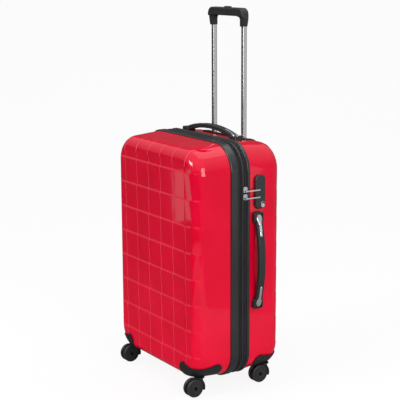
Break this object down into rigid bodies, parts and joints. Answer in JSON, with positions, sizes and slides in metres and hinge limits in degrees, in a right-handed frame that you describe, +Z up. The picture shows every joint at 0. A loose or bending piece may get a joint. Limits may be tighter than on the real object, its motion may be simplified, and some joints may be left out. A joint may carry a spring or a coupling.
{
  "type": "hard shell suitcase on wheels",
  "caption": "Red hard shell suitcase with tiled faces, zip band, telescopic handle, carry handles, side lock and swivelling casters.",
  "frame": {"origin": "centre of the four casters' swivel axes, on the floor the wheels stand on, midway in the shells' width and depth", "axes": "+Z up, -Y out of the tiled front face, +X out of the side with the lock and the side handle"},
  "size_m": [0.4531, 0.2895, 1.013],
  "materials": {
    "shell_red": "glossy red polycarbonate",
    "black_trim": "satin black moulded trim",
    "zip_tape": "black woven zip tape with nylon coil",
    "gusset_fabric": "black nylon gusset",
    "lining_fabric": "dark grey polyester lining",
    "strap_webbing": "black webbing",
    "black_plastic": "satin black plastic",
    "grip_black": "soft black grip plastic",
    "tube_silver": "bright anodised tube",
    "steel": "plated steel",
    "chrome_trim": "bright chrome",
    "caster_black": "black moulded caster fork",
    "wheel_black": "black wheel with soft tread"
  },
  "bodies": {
    "back_case": {"back_shell": "shell_red", "back_trim": "black_trim", "main_zip_back": "zip_tape", "back_lining": "lining_fabric", "packing_straps": "strap_webbing", "strap_buckle": "black_plastic", "hinge_strip": "black_trim", "back_studs": "black_plastic", "handle_tray": "black_plastic", "outer_tubes": "tube_silver", "tube_bracket": "black_plastic", "guard_back_left": "black_plastic", "guard_back_right": "black_plastic", "back_kingpins": "steel", "lock_body": "black_plastic", "top_handle_feet": "black_plastic", "side_handle_feet": "black_plastic"},
    "zip_frame": {"zip_frame_tape": "zip_tape", "zip_frame_welt": "black_trim", "expansion_gusset": "gusset_fabric"},
    "front_case": {"front_shell": "shell_red", "front_trim": "black_trim", "expansion_tape": "zip_tape", "front_lining": "lining_fabric", "guard_front_left": "black_plastic", "guard_front_right": "black_plastic", "front_kingpins": "steel", "front_studs": "black_plastic"},
    "trolley": {"inner_tubes": "tube_silver", "trolley_grip": "grip_black"},
    "release": {"release_button": "black_plastic", "release_rods": "steel"},
    "pin_left": {"snap_pin_left": "steel"},
    "pin_right": {"snap_pin_right": "steel"},
    "top_handle": {"top_handle_grip": "grip_black", "top_handle_inserts": "chrome_trim"},
    "side_handle": {"side_handle_grip": "grip_black", "side_handle_inserts": "chrome_trim"},
    "key": {"key_cylinder": "chrome_trim", "lock_cam": "steel"},
    "slider_upper": {"zip_slider_upper": "chrome_trim"},
    "slider_lower": {"zip_slider_lower": "chrome_trim"},
    "tab_upper": {"pull_tab_upper": "chrome_trim"},
    "tab_lower": {"pull_tab_lower": "chrome_trim"},
    "caster_front_left": {"fork_front_left": "caster_black", "axle_front_left": "steel"},
    "roller_front_left_a": {"wheel_front_left_a": "wheel_black"},
    "roller_front_left_b": {"wheel_front_left_b": "wheel_black"},
    "caster_front_right": {"fork_front_right": "caster_black", "axle_front_right": "steel"},
    "roller_front_right_a": {"wheel_front_right_a": "wheel_black"},
    "roller_front_right_b": {"wheel_front_right_b": "wheel_black"},
    "caster_back_left": {"fork_back_left": "caster_black", "axle_back_left": "steel"},
    "roller_back_left_a": {"wheel_back_left_a": "wheel_black"},
    "roller_back_left_b": {"wheel_back_left_b": "wheel_black"},
    "caster_back_right": {"fork_back_right": "caster_black", "axle_back_right": "steel"},
    "roller_back_right_a": {"wheel_back_right_a": "wheel_black"},
    "roller_back_right_b": {"wheel_back_right_b": "wheel_black"}
  },
  "joints": [
    {"name": "lid_hinge", "type": "hinge", "parent": "back_case", "child": "zip_frame", "pos_m": [-0.2143, 0.012, 0.35], "axis": [0, 0, -1], "range_deg": [0, 180]},
    {"name": "expansion_slide", "type": "slide", "parent": "zip_frame", "child": "front_case", "axis": [0, -1, 0], "range_m": [0, 0.038]},
    {"name": "handle_slide", "type": "slide", "parent": "back_case", "child": "trolley", "axis": [0, 0, 1], "range_m": [-0.32, 0]},
    {"name": "release_press", "type": "slide", "parent": "trolley", "child": "release", "axis": [0, 0, -1], "range_m": [0, 0.003], "stiffness_N_per_m": 900, "springref_m": -0.004},
    {"name": "snap_left", "type": "slide", "parent": "trolley", "child": "pin_left", "axis": [1, 0, 0], "range_m": [0, 0.0018]},
    {"name": "snap_right", "type": "slide", "parent": "trolley", "child": "pin_right", "axis": [-1, 0, 0], "range_m": [0, 0.0018]},
    {"name": "top_handle_lift", "type": "slide", "parent": "back_case", "child": "top_handle", "axis": [0, 0, 1], "range_m": [0, 0.005], "stiffness_N_per_m": 400, "springref_m": -0.003},
    {"name": "side_handle_lift", "type": "slide", "parent": "back_case", "child": "side_handle", "axis": [1, 0, 0], "range_m": [0, 0.005], "stiffness_N_per_m": 400, "springref_m": -0.003},
    {"name": "key_turn", "type": "hinge", "parent": "back_case", "child": "key", "pos_m": [0.2085, 0.067, 0.504], "axis": [1, 0, 0], "range_deg": [0, 90]},
    {"name": "zip_run_upper", "type": "slide", "parent": "back_case", "child": "slider_upper", "axis": [0, 0, 1], "range_m": [0, 0.034]},
    {"name": "zip_run_lower", "type": "slide", "parent": "back_case", "child": "slider_lower", "axis": [0, 0, -1], "range_m": [0, 0.034]},
    {"name": "tab_swing_upper", "type": "hinge", "parent": "slider_upper", "child": "tab_upper", "pos_m": [0.2185, 0.012, 0.5465], "axis": [0, 0, -1], "range_deg": [0, 165]},
    {"name": "tab_swing_lower", "type": "hinge", "parent": "slider_lower", "child": "tab_lower", "pos_m": [0.2185, 0.012, 0.527], "axis": [0, 0, -1], "range_deg": [0, 165]},
    {"name": "swivel_front_left", "type": "hinge", "parent": "front_case", "child": "caster_front_left", "pos_m": [-0.171, -0.105, 0.05], "axis": [0, 0, 1], "continuous": true},
    {"name": "spin_front_left_a", "type": "hinge", "parent": "caster_front_left", "child": "roller_front_left_a", "pos_m": [-0.171, -0.124, 0.0245], "axis": [1, 0, 0], "continuous": true},
    {"name": "spin_front_left_b", "type": "hinge", "parent": "caster_front_left", "child": "roller_front_left_b", "pos_m": [-0.171, -0.124, 0.0245], "axis": [1, 0, 0], "continuous": true},
    {"name": "swivel_front_right", "type": "hinge", "parent": "front_case", "child": "caster_front_right", "pos_m": [0.171, -0.105, 0.05], "axis": [0, 0, 1], "continuous": true},
    {"name": "spin_front_right_a", "type": "hinge", "parent": "caster_front_right", "child": "roller_front_right_a", "pos_m": [0.171, -0.124, 0.0245], "axis": [1, 0, 0], "continuous": true},
    {"name": "spin_front_right_b", "type": "hinge", "parent": "caster_front_right", "child": "roller_front_right_b", "pos_m": [0.171, -0.124, 0.0245], "axis": [1, 0, 0], "continuous": true},
    {"name": "swivel_back_left", "type": "hinge", "parent": "back_case", "child": "caster_back_left", "pos_m": [-0.171, 0.105, 0.05], "axis": [0, 0, 1], "continuous": true},
    {"name": "spin_back_left_a", "type": "hinge", "parent": "caster_back_left", "child": "roller_back_left_a", "pos_m": [-0.171, 0.086, 0.0245], "axis": [1, 0, 0], "continuous": true},
    {"name": "spin_back_left_b", "type": "hinge", "parent": "caster_back_left", "child": "roller_back_left_b", "pos_m": [-0.171, 0.086, 0.0245], "axis": [1, 0, 0], "continuous": true},
    {"name": "swivel_back_right", "type": "hinge", "parent": "back_case", "child": "caster_back_right", "pos_m": [0.171, 0.105, 0.05], "axis": [0, 0, 1], "continuous": true},
    {"name": "spin_back_right_a", "type": "hinge", "parent": "caster_back_right", "child": "roller_back_right_a", "pos_m": [0.171, 0.086, 0.0245], "axis": [1, 0, 0], "continuous": true},
    {"name": "spin_back_right_b", "type": "hinge", "parent": "caster_back_right", "child": "roller_back_right_b", "pos_m": [0.171, 0.086, 0.0245], "axis": [1, 0, 0], "continuous": true}
  ],
  "couplings": [
    {"joint": "snap_left", "follows": "release_press", "ratio": 0.6},
    {"joint": "snap_right", "follows": "release_press", "ratio": 0.6}
  ]
}
